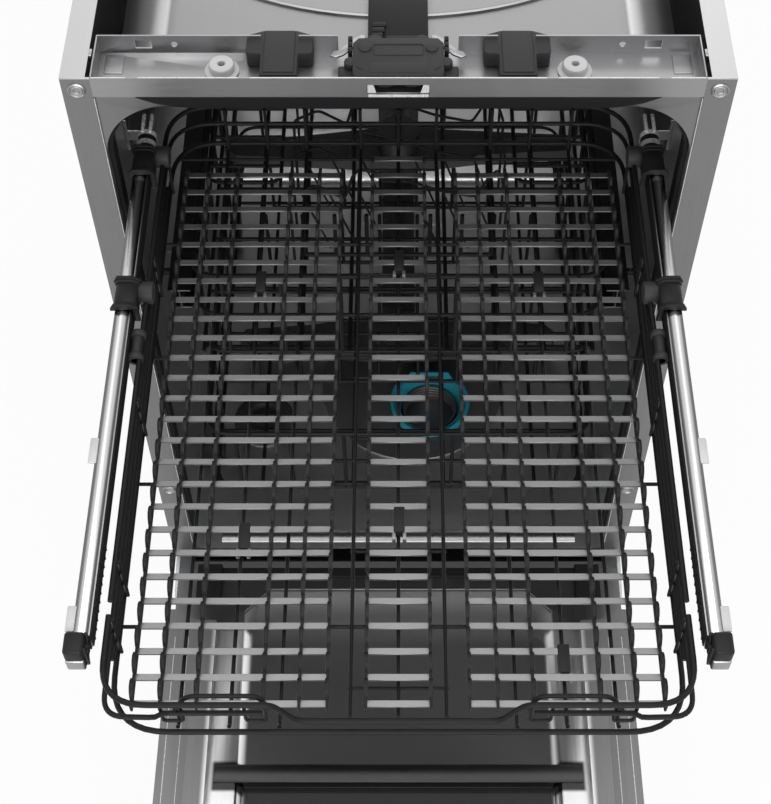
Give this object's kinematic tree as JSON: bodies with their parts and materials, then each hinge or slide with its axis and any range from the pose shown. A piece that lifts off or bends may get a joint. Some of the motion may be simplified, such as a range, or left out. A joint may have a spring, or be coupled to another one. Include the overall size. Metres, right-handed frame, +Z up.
{
  "type": "dishwasher",
  "caption": "slim built-in dishwasher with its drop-down door open and its cutlery tray drawn out on telescopic rails over two sliding wire baskets in a steel tub",
  "frame": {"origin": "on the floor, midway between the four levelling feet", "axes": "X to the right of someone facing the machine, Y to its back, Z up"},
  "size_m": [0.448, 1.206, 0.815],
  "materials": {
    "cabinet_steel": "galvanised sheet, matt",
    "stainless": "brushed stainless sheet",
    "rail_chrome": "bright plated steel",
    "steel_hardware": "plain bright steel",
    "coated_wire": "dark nylon-coated wire, satin",
    "dark_plastic": "black moulded plastic",
    "grey_plastic": "grey moulded plastic",
    "light_plastic": "light grey moulded plastic",
    "base_plastic": "dark moulded plastic",
    "filter_plastic": "teal moulded plastic",
    "seal_rubber": "soft black rubber",
    "button_plastic": "dark satin plastic"
  },
  "bodies": {
    "cabinet": {"base_pan": "base_plastic", "levelling_feet": "base_plastic", "right_side_panel": "cabinet_steel", "left_side_panel": "cabinet_steel", "post_screws": "steel_hardware", "tub": "stainless", "tub_gasket": "seal_rubber", "top_rail": "stainless", "worktop_bushes": "light_plastic", "rail_blocks": "dark_plastic", "lock_housing": "grey_plastic", "cable_duct": "dark_plastic", "hinge_brackets": "cabinet_steel", "hinge_pins": "steel_hardware", "sump": "base_plastic", "filter_plate": "stainless", "softener_tank": "light_plastic", "circulation_pump": "base_plastic", "drain_pump": "base_plastic", "rear_cover": "cabinet_steel", "inlet_valve": "light_plastic", "cable_gland": "light_plastic", "feed_tube": "grey_plastic", "tray_outer_rails": "rail_chrome", "wall_rollers": "grey_plastic"},
    "latch": {"latch_hook": "base_plastic"},
    "door": {"door_outer_panel": "cabinet_steel", "door_inner_liner": "stainless", "door_seal": "seal_rubber", "control_fascia": "dark_plastic", "dispenser_housing": "grey_plastic", "door_striker": "steel_hardware", "hinge_arms": "steel_hardware"},
    "power_button": {"power_button": "button_plastic"},
    "program_button": {"program_button": "button_plastic"},
    "start_button": {"start_button": "button_plastic"},
    "dispenser_lid": {"dispenser_lid": "grey_plastic"},
    "rinse_cap": {"rinse_cap": "grey_plastic"},
    "tray": {"tray_inner_rails": "rail_chrome", "rail_end_caps": "dark_plastic", "tray_frame": "coated_wire", "right_insert": "dark_plastic", "left_insert": "dark_plastic", "centre_insert": "dark_plastic", "rail_clips": "dark_plastic"},
    "tray_mid": {"tray_mid_rails": "rail_chrome"},
    "upper_basket": {"upper_basket": "coated_wire", "upper_basket_rollers": "grey_plastic", "spray_carrier": "grey_plastic"},
    "upper_runner": {"upper_runners": "rail_chrome"},
    "upper_spray": {"upper_spray_arm": "grey_plastic"},
    "left_shelf": {"left_cup_shelf": "coated_wire"},
    "right_shelf": {"right_cup_shelf": "coated_wire"},
    "lower_basket": {"lower_basket": "coated_wire"},
    "front_wheels": {"front_wheels": "grey_plastic"},
    "rear_wheels": {"rear_wheels": "grey_plastic"},
    "tines": {"folding_tines": "coated_wire"},
    "lower_spray": {"lower_spray_arm": "grey_plastic"},
    "filter": {"filter_cylinder": "filter_plastic"},
    "salt_cap": {"salt_cap": "grey_plastic"}
  },
  "joints": [
    {"name": "door_hinge", "type": "hinge", "parent": "cabinet", "child": "door", "pos_m": [0, -0.2845, 0.148], "axis": [1, 0, 0], "range_deg": [-90, 0]},
    {"name": "tray_slide", "type": "slide", "parent": "cabinet", "child": "tray", "axis": [0, -1, 0], "range_m": [-0.398, 0]},
    {"name": "tray_mid_slide", "type": "slide", "parent": "cabinet", "child": "tray_mid", "axis": [0, -1, 0], "range_m": [-0.199, 0]},
    {"name": "upper_basket_slide", "type": "slide", "parent": "cabinet", "child": "upper_basket", "axis": [0, -1, 0], "range_m": [0, 0.36]},
    {"name": "upper_runner_slide", "type": "slide", "parent": "cabinet", "child": "upper_runner", "axis": [0, -1, 0], "range_m": [0, 0.18]},
    {"name": "upper_spray_spin", "type": "hinge", "parent": "upper_basket", "child": "upper_spray", "pos_m": [0, 0.0425, 0.44], "axis": [0, 0, 1], "continuous": true},
    {"name": "left_shelf_fold", "type": "hinge", "parent": "upper_basket", "child": "left_shelf", "pos_m": [-0.1621, 0, 0.558], "axis": [0, -1, 0], "range_deg": [0, 80]},
    {"name": "right_shelf_fold", "type": "hinge", "parent": "upper_basket", "child": "right_shelf", "pos_m": [0.1621, 0, 0.558], "axis": [0, 1, 0], "range_deg": [0, 80]},
    {"name": "lower_basket_slide", "type": "slide", "parent": "cabinet", "child": "lower_basket", "axis": [0, -1, 0], "range_m": [0, 0.42]},
    {"name": "front_wheel_spin", "type": "hinge", "parent": "lower_basket", "child": "front_wheels", "pos_m": [0, -0.1475, 0.2043], "axis": [1, 0, 0], "continuous": true},
    {"name": "rear_wheel_spin", "type": "hinge", "parent": "lower_basket", "child": "rear_wheels", "pos_m": [0, 0.1425, 0.2043], "axis": [1, 0, 0], "continuous": true},
    {"name": "tine_fold", "type": "hinge", "parent": "lower_basket", "child": "tines", "pos_m": [0, -0.1023, 0.25646], "axis": [1, 0, 0], "range_deg": [0, 80]},
    {"name": "lower_spray_spin", "type": "hinge", "parent": "cabinet", "child": "lower_spray", "pos_m": [0, -0.0175, 0.23], "axis": [0, 0, 1], "continuous": true},
    {"name": "filter_twist", "type": "hinge", "parent": "cabinet", "child": "filter", "pos_m": [0.033, -0.0865, 0.19], "axis": [0, 0, 1], "range_deg": [0, 60]},
    {"name": "salt_cap_twist", "type": "hinge", "parent": "cabinet", "child": "salt_cap", "pos_m": [-0.14, -0.1075, 0.19], "axis": [0, 0, 1], "range_deg": [0, 90]},
    {"name": "latch_release", "type": "hinge", "parent": "cabinet", "child": "latch", "pos_m": [0, -0.2329, 0.8041], "axis": [-1, 0, 0], "range_deg": [0, 8], "stiffness_Nm_per_rad": 0.2},
    {"name": "power_press", "type": "slide", "parent": "door", "child": "power_button", "axis": [0, 1, 0], "range_m": [0, 0.002], "stiffness_N_per_m": 900},
    {"name": "program_press", "type": "slide", "parent": "door", "child": "program_button", "axis": [0, 1, 0], "range_m": [0, 0.002], "stiffness_N_per_m": 900},
    {"name": "start_press", "type": "slide", "parent": "door", "child": "start_button", "axis": [0, 1, 0], "range_m": [0, 0.002], "stiffness_N_per_m": 900},
    {"name": "dispenser_lid_slide", "type": "slide", "parent": "door", "child": "dispenser_lid", "axis": [1, 0, 0], "range_m": [0, 0.073]},
    {"name": "rinse_cap_twist", "type": "hinge", "parent": "door", "child": "rinse_cap", "pos_m": [0.105, -0.5745, 0.165], "axis": [0, 0, 1], "range_deg": [0, 90]}
  ],
  "couplings": [
    {"joint": "tray_slide", "follows": "door_hinge", "m_per_rad": 0.25331},
    {"joint": "tray_mid_slide", "follows": "door_hinge", "m_per_rad": 0.12666},
    {"joint": "upper_runner_slide", "follows": "upper_basket_slide", "ratio": 0.5},
    {"joint": "front_wheel_spin", "follows": "lower_basket_slide", "rad_per_m": 55.556},
    {"joint": "rear_wheel_spin", "follows": "lower_basket_slide", "rad_per_m": 55.556}
  ]
}
